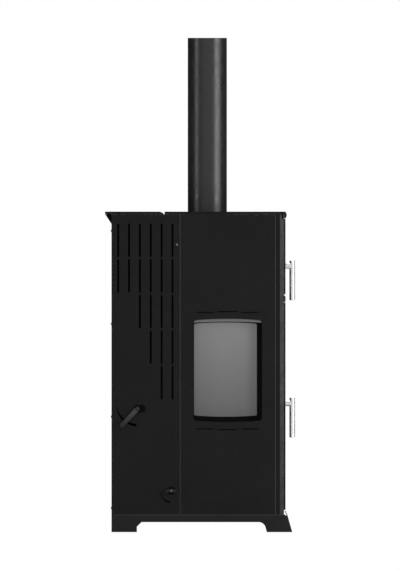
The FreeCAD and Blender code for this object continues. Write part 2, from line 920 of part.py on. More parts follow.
def build_door(name, low, high, handle_high, window):
    """A door: welded frame, glass face, rope seal, and its handle on a spindle with a latch tongue."""
    spindle_height = handle_high - spindle_drop
    sight = rectangle(-150, 150, low + window[0], high - window[1])
    blank = plate(
        f"{name} frame blank",
        "XZ",
        -door_front,
        door_gauge,
        rectangle(-door_half, door_half, low, high),
        sight,
        ("circle", -handle_side, spindle_height, spindle_radius + running_gap),
    )
    fillet(
        blank,
        5,
        lambda p, along, length: abs(along.z) > 0.99
        and abs(p.x) > number(door_half) - 0.1
        and p.y > -0.1 - number(door_gauge) / 2,
    )
    depth = 20.5
    pin_holes = [
        rod(f"{name} {end} pin hole", "z", hinge_side, -hinge_front, z, pin_radius + running_gap, depth + 1)
        for end, z in (("low", low - 1), ("high", high - depth))
    ]
    keep(cut(f"{name}_frame", blank, *pin_holes))
    face = plate(
        f"{name}_glass",
        "XZ",
        -face_front,
        glass_gauge,
        rectangle(-(door_half - 2), door_half - 2, low + 0.5, high - 0.5),
        ("circle", -handle_side, spindle_height, spindle_radius + 1),
    )
    keep(face)
    outer = rectangle(-seal_half, seal_half, low + seal_inset, high - seal_inset)
    inner = rectangle(
        -(seal_half - seal_width),
        seal_half - seal_width,
        low + seal_inset + seal_width,
        high - seal_inset - seal_width,
    )
    keep(plate(f"{name}_seal", "XZ", -door_back, seal_gauge, outer, inner))

    bar_radius = handle_diameter / 2
    bar_middle = handle_front - bar_radius
    tip = 1.6
    profile = [
        (0, 0),
        (bar_radius - tip, 0),
        (bar_radius, tip),
        (bar_radius, handle_length - tip),
        (bar_radius - tip, handle_length),
        (0, handle_length),
    ]
    bar = turned(f"{name} handle bar", "z", -handle_side, -bar_middle, handle_high - handle_length, profile)
    socket = rod(
        f"{name} handle socket",
        "y",
        -handle_side,
        -bar_middle,
        spindle_height,
        spindle_radius,
        20,
    )
    keep(cut(f"{name}_handle", bar, socket))
    stem = rod(
        f"{name} spindle stem",
        "y",
        -handle_side,
        -bar_middle,
        spindle_height,
        spindle_radius,
        bar_middle - door_back + 3.6,
    )
    boss = cut(
        f"{name} spindle boss",
        rod(
            f"{name} boss blank",
            "y",
            -handle_side,
            -bar_middle,
            spindle_height,
            9.5,
            bar_middle - face_front - gap,
        ),
        rod(f"{name} bar room", "z", -handle_side, -bar_middle, spindle_height - 12, bar_radius, 24),
    )
    tongue = box(
        f"{name} latch tongue",
        -(handle_side + 17),
        -(handle_side - 8),
        -(door_back - 0.6),
        -(door_back - 4),
        spindle_height - 7,
        spindle_height + 7,
    )
    keep(fuse(f"{name}_latch", stem, boss, tongue))


# Fire chamber and oven ----------------------------------------------------------------------------
def build_chamber():
    """The welded fire chamber with side windows, its linings, grate, baffle, ash pan, and the oven above."""
    inner_half = wall_half - wall_gauge
    back_inner = chamber_rear - wall_gauge
    walls = []
    rim = 12
    for side, sign in SIDES:
        outline = rectangle(-casing_front, chamber_rear, chamber_low, chamber_high)
        hole = arched(-(pane_front - rim), pane_rear - rim, pane_low + rim, pane_high - rim, 4)
        walls.append(side_plate(f"{side} chamber wall", sign, wall_half, wall_gauge, outline, hole))
    group("chamber_sides", *walls)
    keep(
        plate(
            "chamber_back",
            "XZ",
            back_inner,
            wall_gauge,
            rectangle(-inner_half, inner_half, chamber_low, chamber_high),
            ("circle", 0, knob_height, duct_radius - duct_gauge),
            ("circle", 0, secondary_height, duct_radius - duct_gauge),
        )
    )
    across = rectangle(-inner_half, inner_half, -casing_front, back_inner)
    keep(plate("chamber_floor", "XY", chamber_low, wall_gauge, across))
    top = plate(
        "chamber top plate",
        "XY",
        chamber_high - wall_gauge,
        wall_gauge,
        across,
        ("circle", 0, -flue_centre, flue_radius + 0.5),
    )
    inner = flue_radius + 0.5
    profile = [(inner, 0), (inner + 18, 0), (inner + 18, 4), (inner + 4, 4), (inner + 4, 12), (inner, 12)]
    collar = turned("flue collar", "z", 0, -flue_centre, chamber_high, profile)
    keep(fuse("chamber_top", top, collar))
    grate_hole = rectangle(-84, 84, -190, -22)
    keep(plate("hearth_plate", "XY", hearth_height - wall_gauge, wall_gauge, across, grate_hole))
    slots = [rectangle(-76, 76, y, y + 8) for y in range(-184, -30, 16)]
    grate = plate("grate", "XY", hearth_height, 12, rectangle(-92, 92, -198, -14), *slots)
    keep(grate)

    brick_high = window_low - 6
    side_bricks = []
    for side, sign in SIDES:
        side_bricks.append(
            side_plate(
                f"{side} brick", sign, inner_half, brick_gauge, rectangle(
                    -(casing_front - 6),
                    back_inner,
                    hearth_height,
                    brick_high,
                )
            )
        )
    group("side_firebricks", *side_bricks)
    brick_half = inner_half - brick_gauge - 0.3
    keep(
        box(
            "back_firebrick",
            -brick_half,
            brick_half,
            back_inner - brick_gauge,
            back_inner,
            hearth_height,
            secondary_height - 36,
        ),
    )
    hearth_bricks = []
    for side, sign in SIDES:
        ends = sorted((93 * sign, number(brick_half) * sign))
        hearth_bricks.append(
            box(
                f"{side} hearth brick",
                *ends,
                -(casing_front - 6),
                15.5,
                hearth_height,
                hearth_height + 22,
            ),
        )
    group("hearth_bricks", *hearth_bricks)
    rails = []
    for side, sign in SIDES:
        ends = (-inner_half, -inner_half + 16) if sign < 0 else (inner_half - 16, inner_half)
        rails.append(box(f"{side} baffle rail", *ends, -130, back_inner, 662, 665))
        ends = (-opening_half, -opening_half + 18) if sign < 0 else (opening_half - 18, opening_half)
        rails.append(box(f"{side} shelf rail", *ends, -230, -20, 848, 851))
    group("support_rails", *rails)
    keep(box("baffle", -(inner_half - 1), inner_half - 1, -132, back_inner - 1, 665, 690))

    inset = seal_inset + seal_width + 4
    oven_low = oven_door_low + inset
    oven_high = oven_door_high - inset
    shell_half = opening_half + oven_wall
    oven = box(
        "oven blank",
        -shell_half,
        shell_half,
        -casing_front,
        -oven_rear,
        oven_low - oven_wall,
        oven_high + oven_wall,
    )
    cavity = box(
        "oven cavity",
        -opening_half,
        opening_half,
        -casing_front - 1,
        -oven_rear - oven_wall,
        oven_low,
        oven_high,
    )
    keep(cut("oven_box", oven, cavity))

    shelf_holes = [rectangle(x, x + 8, -205, -45) for x in range(-136, 136, 16)]
    shelf = plate("shelf plate", "XY", 851.4, 3, rectangle(-158, 158, -222, -28), *shelf_holes)
    keep(shelf, "oven_shelf")

    pan_low = chamber_low + wall_gauge + 0.4
    pan_high = pan_low + 72
    pan = cut(
        "ash pan shell",
        box("ash pan blank", -150, 150, -229, 28, pan_low, pan_high),
        box("ash pan room", -148, 148, -227, 26, pan_low + 2, pan_high + 5),
    )
    grip = box("ash pan grip", -45, 45, -235, -229, pan_high - 14, pan_high - 11)
    keep(fuse("ash_pan", pan, grip))


def build_windows():
    """The side windows: a frame on each wall, its glass over a rope seal, and a bright air-wash strip."""
    frames, panes, seals, strips = [], [], [], []
    arch = 4
    pane = arched(-pane_front, pane_rear, pane_low, pane_high, arch)
    room = arched(-(pane_front + 0.3), pane_rear + 0.3, pane_low - 0.3, pane_high + 0.3, arch)
    ring = arched(-(pane_front + 24), pane_rear + 12, pane_low - 24, pane_high + 16, arch)
    inner = arched(-(pane_front - 11), pane_rear - 11, pane_low + 11, pane_high - 11, arch)
    face = wall_half + window_frame_gauge
    for side, sign in SIDES:
        frames.append(side_plate(f"{side} window frame", sign, face, window_frame_gauge, ring, room))
        glass = side_plate(f"{side} window glass", sign, face, pane_gauge, pane)
        fillet(glass, 7, lambda p, along, length: abs(along.x) > 0.99)
        panes.append(glass)
        seals.append(
            side_plate(
                f"{side} window seal",
                sign,
                wall_half + window_frame_gauge - pane_gauge,
                window_frame_gauge - pane_gauge,
                pane,
                inner,
            ),
        )
        strip = arched(-(window_front + 4), window_rear + 4, pane_high + 2.7, window_high + 6, arch)
        points = strip[1]
        curve = strip[2][2]
        low_points = [
            (points[0][0], points[0][1] - arch * 2),
            (points[1][0], points[1][1] - arch * 2),
            points[2],
            points[3],
        ]
        strips.append(
            side_plate(
                f"{side} air-wash strip",
                sign,
                face + 2,
                2,
                ("outline", low_points, {0: -curve, 2: curve}),
            ),
        )
    group("window_frames", *frames)
    group("window_glasses", *panes)
    group("window_seals", *seals)
    group("airwash_strips", *strips)


def build_flue():
    """The flue pipe, which stands in the collar on the chamber's top."""
    base = chamber_high - 16
    outer = rod("pipe blank", "z", 0, -flue_centre, base, flue_radius, flue_top - base)
    bore = rod("pipe bore", "z", 0, -flue_centre, base - 1, flue_radius - flue_gauge, flue_top - base + 2)
    keep(cut("flue_pipe", outer, bore))


# Air controls -------------------------------------------------------------------------------------
def build_air():
    """The air box with its rear inlet, two ducts, and the two dampers with their shafts, lever and knob."""
    wall = duct_gauge
    bore = duct_radius - wall
    room = cut(
        "air box shell",
        box(
            "air box blank",
            -plenum_half,
            plenum_half,
            plenum_front,
            casing_rear - 2.5,
            plenum_low,
            plenum_high,
        ),
        box(
            "air box room",
            -plenum_half + wall,
            plenum_half - wall,
            plenum_front + wall,
            casing_rear - 2.5 - wall,
            plenum_low + wall,
            plenum_high - wall,
        ),
    )
    collar_start = casing_rear - 40
    collar = rod("inlet collar blank", "y", 0, collar_start, inlet_height, inlet_radius + 1.5, 40)
    bores = (
        rod("inlet bore", "y", 0, collar_start - 1, inlet_height, inlet_radius, 42),
        rod("primary bore", "y", 0, plenum_front - 1, knob_height, bore, 4),
        rod("secondary bore", "z", 0, lever_back, plenum_high - 3, bore, 4),
    )
    keep(cut("air_box", fuse("air box body", room, collar), *bores))

    tube = rod(
        "primary duct blank",
        "y",
        0,
        chamber_rear,
        knob_height,
        duct_radius,
        plenum_front - chamber_rear,
    )
    inside = rod(
        "primary duct bore",
        "y",
        0,
        chamber_rear - 1,
        knob_height,
        bore,
        plenum_front - chamber_rear + 2,
    )
    across = rod(
        "primary shaft holes",
        "x",
        -(duct_radius + 2),
        knob_back,
        knob_height,
        5.4,
        duct_radius * 2 + 4,
    )
    keep(cut("primary_duct", tube, inside, across))

    bend = 45
    duct = new_body("secondary duct bent tube")
    spine = new_sketch(duct, "YZ")
    corner_low = FreeCAD.Vector(number(lever_back), number(secondary_height - bend), 0)
    corner_high = FreeCAD.Vector(number(lever_back - bend), number(secondary_height), 0)
    centre = FreeCAD.Vector(number(lever_back - bend), number(secondary_height - bend), 0)
    middle = centre + FreeCAD.Vector(1, 1, 0).normalize() * number(bend)
    start = FreeCAD.Vector(number(lever_back), number(plenum_high), 0)
    end = FreeCAD.Vector(number(chamber_rear), number(secondary_height), 0)
    spine.addGeometry(Part.LineSegment(start, corner_low))
    spine.addGeometry(Part.Arc(corner_low, middle, corner_high))
    spine.addGeometry(Part.LineSegment(corner_high, end))
    spine.addConstraint(Sketcher.Constraint("Tangent", 0, 2, 1, 1))
    spine.addConstraint(Sketcher.Constraint("Tangent", 1, 2, 2, 1))
    pin_point(spine, 0, 1, lever_back, plenum_high)
    pin_point(spine, 2, 2, chamber_rear, secondary_height)
    spine.addConstraint(Sketcher.Constraint("Vertical", 0))
    spine.addConstraint(Sketcher.Constraint("Horizontal", 2))
    index = spine.addConstraint(Sketcher.Constraint("Radius", 1, number(bend)))
    spine.setExpression(f"Constraints[{index}]", formula(bend))
    ring = new_sketch(duct, "XY")
    ring.AttachmentOffset = FreeCAD.Placement(FreeCAD.Vector(0, 0, number(plenum_high)), FreeCAD.Rotation())
    ring.setExpression("AttachmentOffset.Base.z", plenum_high.formula)
    add_circle(ring, 0, lever_back, duct_radius)
    add_circle(ring, 0, lever_back, bore)
    doc.recompute()
    pipe = duct.newObject("PartDesign::AdditivePipe", "Pipe")
    pipe.Profile = ring
    pipe.Spine = (spine, ["Edge1", "Edge2", "Edge3"])
    across = rod(
        "secondary shaft holes",
        "x",
        -(duct_radius + 2),
        lever_back,
        lever_height,
        6.4,
        duct_radius * 2 + 4,
    )
    keep(cut("secondary_duct", duct, across))

    outside = half_width + 2.5
    shaft_end = duct_radius + 8
    build_damper(
        "secondary_damper",
        lever_back,
        lever_height,
        6,
        outside + 0.4,
        shaft_end,
        lever_rest + 0,
        "z",
    )
    build_damper("primary_damper", knob_back, knob_height, 5, outside + 0.4, shaft_end, 0, "y")

    plates = []
    stadium = 11.5
    middle = lever_back - 12
    points = [
        (middle - 12, lever_height - stadium),
        (middle + 22, lever_height - stadium),
        (middle + 22, lever_height + stadium),
        (middle - 12, lever_height + stadium),
    ]
    lever_plate = side_plate(
        "lever rosette", -1, outside, 2.5, ("outline", points), (
            "circle",
            lever_back,
            lever_height,
            6 + running_gap,
        )
    )
    fillet(
        lever_plate,
        8,
        lambda p,
        along,
        length: abs(along.x) > 0.99 and abs(p.z - number(lever_height)) > 10,
    )
    plates.append(lever_plate)
    plates.append(
        side_plate(
            "knob rosette",
            -1,
            outside,
            2.5,
            ("circle", knob_back, knob_height, 12),
            ("circle", knob_back, knob_height, 5 + running_gap),
        )
    )
    group("rosettes", *plates)

    hub_near = outside + 0.4
    hub_far = hub_near + 4
    rise = 8.6
    tail = lever_width / 2
    profile = [
        (-hub_near, -tail),
        (-hub_near, 11),
        (-(hub_near + rise), lever_length),
        (-(hub_far + rise), lever_length),
        (-hub_far, 10.4),
        (-hub_far, -tail),
    ]
    lever = new_body("lever blank")
    sketch = new_sketch(lever, "XY")
    add_outline(sketch, profile)
    pad(lever, sketch, lever_width, both_ways=True)
    pocket_through(lever, "YZ", [("circle", 0, 0, 3)])
    ends = (-number(tail), number(lever_length))
    fillet(
        lever,
        6.5,
        lambda p, along, length: abs(along.z) < 0.1
        and length < 5
        and any(abs(p.y - end) < 0.5 for end in ends)
        and abs(p.z) > 6,
    )
    turn = FreeCAD.Rotation(FreeCAD.Vector(1, 0, 0), number(lever_rest))
    keep(place(lever, 0, lever_back, lever_height, turn), "air_lever")
    head = [(0, 0), (3, 0), (3, 14), (5.2, 14), (4.2, 16.4), (0, 17)]
    screw = turned("lever_screw", "x", -(hub_far - 14), lever_back, lever_height, head)
    screw.Placement = FreeCAD.Placement(
        screw.Placement.Base,
        FreeCAD.Rotation(FreeCAD.Vector(0, 1, 0), -90),
    )
    keep(screw)

    wing_near = hub_near + 2
    wing_far = hub_near + 9
    half_wing = [(18.5, -4.5), (17.5, 0.5), (8, 5.5)]
    points = [
        *half_wing,
        *[(-y, z) for y, z in reversed(half_wing)],
        (-12.5, -5.5),
        (0, -3.5),
        (12.5, -5.5),
    ]
    wings = side_plate(
        "knob wings", -1, wing_far, wing_far - wing_near, (
            "outline",
            [(knob_back + y, knob_height + z) for y, z in points],
        )
    )
    fillet(wings, 1.8, lambda p, along, length: abs(along.x) > 0.99 and abs(p.y - number(knob_back)) > 11)
    hub_profile = [(0, 0), (8, 0), (8, 2), (6.5, 9.5), (5, 11), (0, 11)]
    hub = turned("knob hub", "x", -hub_near, knob_back, knob_height, hub_profile)
    hub.Placement = FreeCAD.Placement(hub.Placement.Base, FreeCAD.Rotation(FreeCAD.Vector(0, 1, 0), -90))
    keep(fuse("air_knob", hub, wings))


def build_damper(label, y, z, radius, outer, inner_end, rest, closed):
    """A round flap fixed across its shaft. closed is the duct's direction, and rest turns the flap."""
    flap_radius = duct_radius - duct_gauge - 0.6
    shaft = rod(f"{label} shaft", "x", -outer, y, z, radius, outer + inner_end)
    half = 1.2
    flap = doc.addObject("Part::Cylinder", "Cylinder")
    flap.Label = f"{label} flap"
    bind(flap, "Radius", flap_radius)
    bind(flap, "Height", half * 2)
    swing = FreeCAD.Rotation(FreeCAD.Vector(1, 0, 0), number(rest))
    turn = swing.multiply(TURNS[closed])
    shift = turn.multVec(FreeCAD.Vector(0, 0, -half))
    place(flap, shift.x, y + shift.y, z + shift.z, turn)
    whole = fuse(f"{label} body", shaft, flap)
    if radius > 5.5:
        thread = rod(f"{label} thread", "x", -outer, y, z, 3, 10)
        keep(cut(label, whole, thread))
    else:
        keep(whole, label)


def check_and_write():
    """Stop on any failed object, then write each sub-part to its own file."""
    doc.recompute()
    for thing in doc.Objects:
        if "Invalid" in thing.State or "Error" in thing.State:
            raise ValueError(f"{thing.Label}: {thing.State}")
    os.makedirs("parts", exist_ok=True)
    for old in os.listdir("parts"):
        if old.endswith(".step"):
            os.remove(os.path.join("parts", old))
    for node in nodes:
        shape = node.Shape
        if shape.isNull() or not shape.isValid():
            raise ValueError(f"{node.Label}: its shape isn't valid")
        shape.exportStep(f"parts/{node.Label}.step")
        print(f"{node.Label}: {len(shape.Solids)} solid(s), {shape.Volume / 1000:.1f} cm3")


build_plinth()
build_panels()
build_back()
build_shields()
build_top()
build_front()
build_door("fire_door", fire_door_low, fire_door_high, fire_handle_high, (130, 90))
build_door("oven_door", oven_door_low, oven_door_high, oven_handle_high, (55, 50))
build_chamber()
build_windows()
build_flue()
build_air()
check_and_write()
print(len(nodes), "nodes")
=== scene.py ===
import math

import bpy
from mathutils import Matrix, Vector


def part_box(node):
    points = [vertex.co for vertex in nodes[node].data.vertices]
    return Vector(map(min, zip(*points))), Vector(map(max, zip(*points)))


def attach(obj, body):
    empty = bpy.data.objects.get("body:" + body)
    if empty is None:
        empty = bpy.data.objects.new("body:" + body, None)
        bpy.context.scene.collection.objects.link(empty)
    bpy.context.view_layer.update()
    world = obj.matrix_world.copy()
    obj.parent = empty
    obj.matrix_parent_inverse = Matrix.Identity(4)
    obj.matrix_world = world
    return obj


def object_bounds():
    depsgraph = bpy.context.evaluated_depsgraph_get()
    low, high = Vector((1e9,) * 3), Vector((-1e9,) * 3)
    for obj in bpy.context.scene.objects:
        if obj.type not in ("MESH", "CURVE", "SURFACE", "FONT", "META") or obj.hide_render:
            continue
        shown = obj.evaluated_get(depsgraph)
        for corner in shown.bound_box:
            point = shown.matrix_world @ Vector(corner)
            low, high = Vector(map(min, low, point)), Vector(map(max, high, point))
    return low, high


# The looks of the wood burning stove, in metres in the CAD's frame: the controls
# are on its left, at -X, and its doors are in front, at -Y.
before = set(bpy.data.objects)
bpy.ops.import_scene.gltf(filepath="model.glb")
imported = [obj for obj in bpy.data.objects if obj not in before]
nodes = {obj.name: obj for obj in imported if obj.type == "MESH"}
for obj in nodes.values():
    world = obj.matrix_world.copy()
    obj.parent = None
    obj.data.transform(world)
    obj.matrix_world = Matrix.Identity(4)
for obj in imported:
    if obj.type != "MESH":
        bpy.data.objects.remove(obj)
cad_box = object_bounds()
SIDES = (("left", -1), ("right", 1))

# Node materials -----------------------------------------------------------


def map_range(tree, value, start, end, lo, hi):
    """value taken from start..end to lo..hi, and held at lo and hi beyond them.

    Each of them is a number or another node's output.
    """
    made = tree.nodes.new("ShaderNodeMapRange")
    settings = {"Value": value, "From Min": start, "From Max": end, "To Min": lo, "To Max": hi}
    for name, setting in settings.items():
        if isinstance(setting, bpy.types.NodeSocket):
            tree.links.new(setting, made.inputs[name])
        else:
            made.inputs[name].default_value = setting
    return made.outputs["Result"]


class Finish:
    """A procedural node material, with its pattern in the object's own coordinates."""

    def __init__(self, name, tone, roughness, metallic=0.0, specular=0.5):
        self.material = bpy.data.materials.new(name)
        self.material.use_nodes = True
        self.tree = self.material.node_tree
        self.shader = self.tree.nodes["Principled BSDF"]
        self.set("Base Color", (*tone, 1))
        self.set("Roughness", roughness)
        self.set("Metallic", metallic)
        self.set("Specular IOR Level", specular)
        self.material.diffuse_color = (*tone, 1)
        self.place = self.node("ShaderNodeTexCoord").outputs["Object"]
        self.normal = None

    def node(self, kind, **settings):
        made = self.tree.nodes.new(kind)
        for key, value in settings.items():
            setattr(made, key, value)
        return made

    def set(self, socket, value):
        self.shader.inputs[socket].default_value = value

    def link(self, start, end):
        self.tree.links.new(start, end)

    def stretched(self, scale):
        mapping = self.node("ShaderNodeMapping")
        mapping.inputs["Scale"].default_value = scale
        self.link(self.place, mapping.inputs["Vector"])
        return mapping.outputs["Vector"]

    def noise(self, scale, detail=4.0, stretch=None, roughness=0.55):
        made = self.node("ShaderNodeTexNoise")
        made.inputs["Scale"].default_value = scale
        made.inputs["Detail"].default_value = detail
        made.inputs["Roughness"].default_value = roughness
        self.link(self.stretched(stretch) if stretch else self.place, made.inputs["Vector"])
        return made.outputs["Fac"]

    def upright(self, vector=None):
        """The Z part of a vector, or of the place on the object."""
        made = self.node("ShaderNodeSeparateXYZ")
        self.link(vector or self.place, made.inputs["Vector"])
        return made.outputs["Z"]

    def combine(self, operation, a, b):
        made = self.node("ShaderNodeMath", operation=operation)
        self.link(a, made.inputs[0])
        self.link(b, made.inputs[1])
        return made.outputs[0]

    def ramp(self, value, *stops):
        made = self.node("ShaderNodeValToRGB")
        elements = made.color_ramp.elements
        while len(elements) < len(stops):
            elements.new(0.5)
        for element, (position, tone) in zip(elements, stops):
            element.position = position
            element.color = (*tone, 1)
        self.link(value, made.inputs["Fac"])
        return made.outputs["Color"]

    def span(self, value, lo, hi, start, end):
        return map_range(self.tree, value, start, end, lo, hi)

    def mix(self, factor, base, tone):
        """base turning to tone as factor goes from 0 to 1."""
        made = self.node("ShaderNodeMix", data_type="RGBA")
        colours = [socket for socket in made.inputs if socket.type == "RGBA"]
        self.link(factor, made.inputs["Factor"])
        self.link(base, colours[0])
        colours[1].default_value = (*tone, 1)
        return next(socket for socket in made.outputs if socket.type == "RGBA")

    def bump(self, value, distance):
        made = self.node("ShaderNodeBump")
        made.inputs["Distance"].default_value = distance
        self.link(value, made.inputs["Height"])
        if self.normal is not None:
            self.link(self.normal, made.inputs["Normal"])
        self.normal = made.outputs["Normal"]
        self.link(self.normal, self.shader.inputs["Normal"])

    def colour(self, socket):
        self.link(socket, self.shader.inputs["Base Color"])

    def rough(self, socket):
        self.link(socket, self.shader.inputs["Roughness"])


def shade(tone, factor):
    return tuple(min(1.0, part * factor) for part in tone)


DUST_TONE = (0.16, 0.15, 0.14)


def paint(name, tone, roughness, specular, grain=900.0, depth=0.00006, dust=0.0, fade=None):
    """Stove paint: fine grain, cloudy sheen and faint rubbed marks.

    dust is how much of it lies on what faces up. fade is (height, height, tone): the paint turns
    to that tone from the first height to the second.
    """
    f = Finish(name, tone, roughness, specular=specular)
    base = f.ramp(f.noise(5.0, detail=5.0), (0.3, shade(tone, 0.86)), (0.7, shade(tone, 1.12)))
    # fade paints a change of tone with height; on the lever it is painted shade.
    if fade:
        start, end, far_tone = fade
        base = f.mix(f.span(f.upright(), 0.0, 1.0, start, end), base, far_tone)
    specks = f.span(f.noise(420.0, detail=2.0), 0.0, 0.5, start=0.62, end=0.8)
    base = f.mix(specks, base, shade(tone, 1.7))
    rubs = f.noise(26.0, detail=6.0, stretch=(1.0, 9.0, 1.0), roughness=0.7)
    base = f.mix(f.span(rubs, 0.0, 0.35, start=0.64, end=0.8), base, shade(tone, 1.5))
    if dust:
        facing = f.upright(f.node("ShaderNodeNewGeometry").outputs["Normal"])
        patches = f.span(f.noise(60.0, detail=6.0), 0.0, 1.0, start=0.35, end=0.7)
        settled = f.combine("MULTIPLY", f.span(facing, 0.0, dust, start=0.6, end=1.0), patches)
        base = f.mix(settled, base, DUST_TONE)
    f.colour(base)
    sheen = f.noise(38.0, detail=5.0)
    f.rough(f.span(sheen, roughness - 0.07, roughness + 0.09, start=0.3, end=0.7))
    f.bump(f.noise(grain, detail=3.0), depth)
    f.bump(f.noise(90.0, detail=2.0), depth * 0.6)
    return f.material


def metal(name, tone, roughness, brush=(1.0, 1.0, 60.0), depth=0.00002, stain=0.8):
    """Bare or plated metal with a brushed direction and handling marks."""
    f = Finish(name, tone, roughness, metallic=1.0)
    streaks = f.noise(60.0, stretch=brush)
    f.colour(f.ramp(f.noise(14.0, detail=5.0), (0.3, shade(tone, stain)), (0.62, tone)))
    f.rough(f.span(streaks, roughness * 0.6, roughness * 1.5, start=0.3, end=0.7))
    f.bump(streaks, depth)
    return f.material


def mineral(name, tone, roughness, grain, depth, soot=None):
    """Pressed board, rope or rough casting.

    soot is (height, height, tone): it blackens the piece from the first height to the second.
    """
    f = Finish(name, tone, roughness, specular=0.3)
    mottle = ((0.3, shade(tone, 0.6)), (0.5, tone), (0.72, shade(tone, 1.25)))
    base = f.ramp(f.noise(grain, detail=8.0), *mottle)
    if soot:
        start, end, black = soot
        patches = f.span(f.noise(9.0, detail=6.0), -0.3, 0.3, start=0.3, end=0.7)
        cover = f.combine("ADD", f.span(f.upright(), 0.0, 1.0, start, end), patches)
        base = f.mix(cover, base, black)
    f.colour(base)
    f.rough(f.span(f.noise(grain * 2), roughness - 0.08, roughness + 0.08, start=0.3, end=0.7))
    f.bump(f.noise(grain * 1.5, detail=8.0), depth)
    return f.material


def glazing(name, bottom, top, start, end, through, haze):
    """Smoked ceramic glass that goes from tone bottom at height start to tone top at height end, a painted
    reflection that is paler higher up.

    through is the share of light that passes, and haze is the strength of its smears.
    """
    f = Finish(name, top, roughness=0.16)
    # Painted reflection: the glass is paler towards its top.
    tone = f.ramp(f.span(f.upright(), 0.0, 1.0, start, end), (0.0, bottom), (1.0, top))
    smears = f.noise(7.0, detail=6.0, stretch=(1.0, 1.0, 0.4))
    f.colour(f.mix(f.span(smears, 0.0, haze, start=0.45, end=0.75), tone, shade(top, 1.1)))
    f.rough(f.span(f.noise(30.0, detail=5.0), 0.05, 0.14, start=0.3, end=0.7))
    f.set("Transmission Weight", through)
    f.bump(f.noise(24.0, detail=2.0), 0.00003)
    return f.material


# The lever is painted paler towards its hub and darker towards its tip, a painted shade along the bar, and
# soot covers the upper bricks.
LEVER_PAINTED_SHADE = (0.33, 0.376, (0.046, 0.046, 0.048))
BRICK_SOOT = (0.2, 0.75, (0.03, 0.027, 0.025))

casing = paint("casing paint", (0.0078, 0.0078, 0.008), 0.55, specular=0.13)
# The plinth's paler tone is partly painted light, standing in for the light on its up-tilted faces.
plinth = paint("plinth paint", (0.013, 0.013, 0.0134), 0.55, specular=0.15)
# The seam strips' paler tone is partly a painted highlight along the seams between the panels.
trim = paint("trim paint", (0.0145, 0.0145, 0.015), 0.5, specular=0.15)
# On the corner beads this pale paint is a painted highlight on the panels' front bends.
edge_paint = paint("pale edge paint", (0.027, 0.027, 0.028), 0.45, specular=0.2)
hub_paint = paint("hub paint", (0.012, 0.012, 0.0125), 0.4, specular=0.15)
strip = paint("corner strip paint", (0.0055, 0.0055, 0.0057), 0.3, specular=0.14)
top_paint = paint(
    "top casting paint", (0.006, 0.006, 0.0062), 0.5, specular=0.12, grain=420.0, depth=0.00016, dust=0.12
)
pipe = paint("pipe enamel", (0.0115, 0.0115, 0.0125), 0.33, specular=0.5, depth=0.00002)
heat = paint("heat paint", (0.0035, 0.0035, 0.0035), 0.7, specular=0.06, grain=600.0, depth=0.0001)
# The lever's fade is painted shade: darker towards its tip.
lever = paint("lever paint", (0.013, 0.013, 0.0135), 0.4, specular=0.2, depth=0.00003, fade=LEVER_PAINTED_SHADE)
control = paint("control black", (0.0015, 0.0015, 0.0015), 0.5, specular=0.05, grain=1200.0, depth=0.00004)
rail = paint("rail paint", (0.006, 0.006, 0.006), 0.5, specular=0.15)
iron = mineral("grate iron", (0.05, 0.048, 0.046), 0.75, grain=130.0, depth=0.0004)
brick = mineral("vermiculite", (0.5, 0.42, 0.31), 0.9, grain=150.0, depth=0.0007, soot=BRICK_SOOT)
rope = mineral("rope seal", (0.16, 0.15, 0.14), 0.95, grain=500.0, depth=0.0004)
chrome = metal("polished chrome", (0.82, 0.82, 0.84), 0.03, brush=(1.0, 1.0, 0.2), depth=0.000004, stain=0.93)
strip_steel = metal("air-wash strip steel", (0.3, 0.3, 0.305), 0.45, stain=0.85)
screw_black = paint("blackened screw", (0.02, 0.02, 0.02), 0.3, specular=0.4)
zinc = metal("zinc plate", (0.42, 0.42, 0.43), 0.38)
bright = metal("screw steel", (0.2, 0.2, 0.205), 0.28, brush=(30.0, 30.0, 1.0))
knob_paint = paint("knob paint", (0.014, 0.014, 0.0145), 0.36, specular=0.2, grain=1200.0, depth=0.00004)
# The side glass is painted darker at its bottom and paler at its top, a painted reflection.
side_glass = glazing(
    "side glass", (0.115, 0.115, 0.1175), (0.25, 0.25, 0.255), start=0.36, end=0.655, through=0.1, haze=0.1
)
door_glass = glazing(
    "door glass", (0.3, 0.3, 0.31), (0.34, 0.34, 0.35), start=0.1, end=0.95, through=0.92, haze=0.0
)

FINISHES = {
    casing: ["left_front_panel", "right_front_panel", "left_rear_panel", "right_rear_panel", "back_panel"],
    plinth: ["plinth_sides", "plinth_front", "plinth_rear"],
    trim: ["seam_strips"],
    edge_paint: ["base_plate"],
    rail: ["middle_rail", "front_frame"],
    strip: ["corner_profiles"],
    top_paint: ["top_plate", "rear_lid", "rear_cap"],
    pipe: ["flue_pipe"],
    heat: [
        "chamber_sides", "chamber_back", "chamber_floor", "chamber_top", "hearth_plate", "oven_box",
        "window_frames", "fire_door_frame", "oven_door_frame", "rear_shields", "support_rails",
    ],
    iron: ["grate"],
    brick: ["side_firebricks", "back_firebrick", "hearth_bricks", "baffle"],
    door_glass: ["fire_door_glass", "oven_door_glass"],
    side_glass: ["window_glasses"],
    rope: ["fire_door_seal", "oven_door_seal", "window_seals"],
    chrome: ["fire_door_handle", "oven_door_handle", "oven_shelf", "fire_door_latch", "oven_door_latch"],
    bright: ["panel_screws"],
    screw_black: ["lever_screw"],
    zinc: [
        "door_hinges", "lid_hinges", "levelling_feet", "latch_keepers", "primary_damper",
        "secondary_damper", "air_box", "primary_duct", "secondary_duct", "ash_pan",
    ],
    strip_steel: ["airwash_strips"],
    lever: ["air_lever"],
    control: ["rosettes"],
    knob_paint: ["air_knob"],
}
for material, names in FINISHES.items():
    for name in names:
        piece = nodes[name]
        piece.data.materials.clear()
        piece.data.materials.append(material)

# Broken edges -------------------------------------------------------------

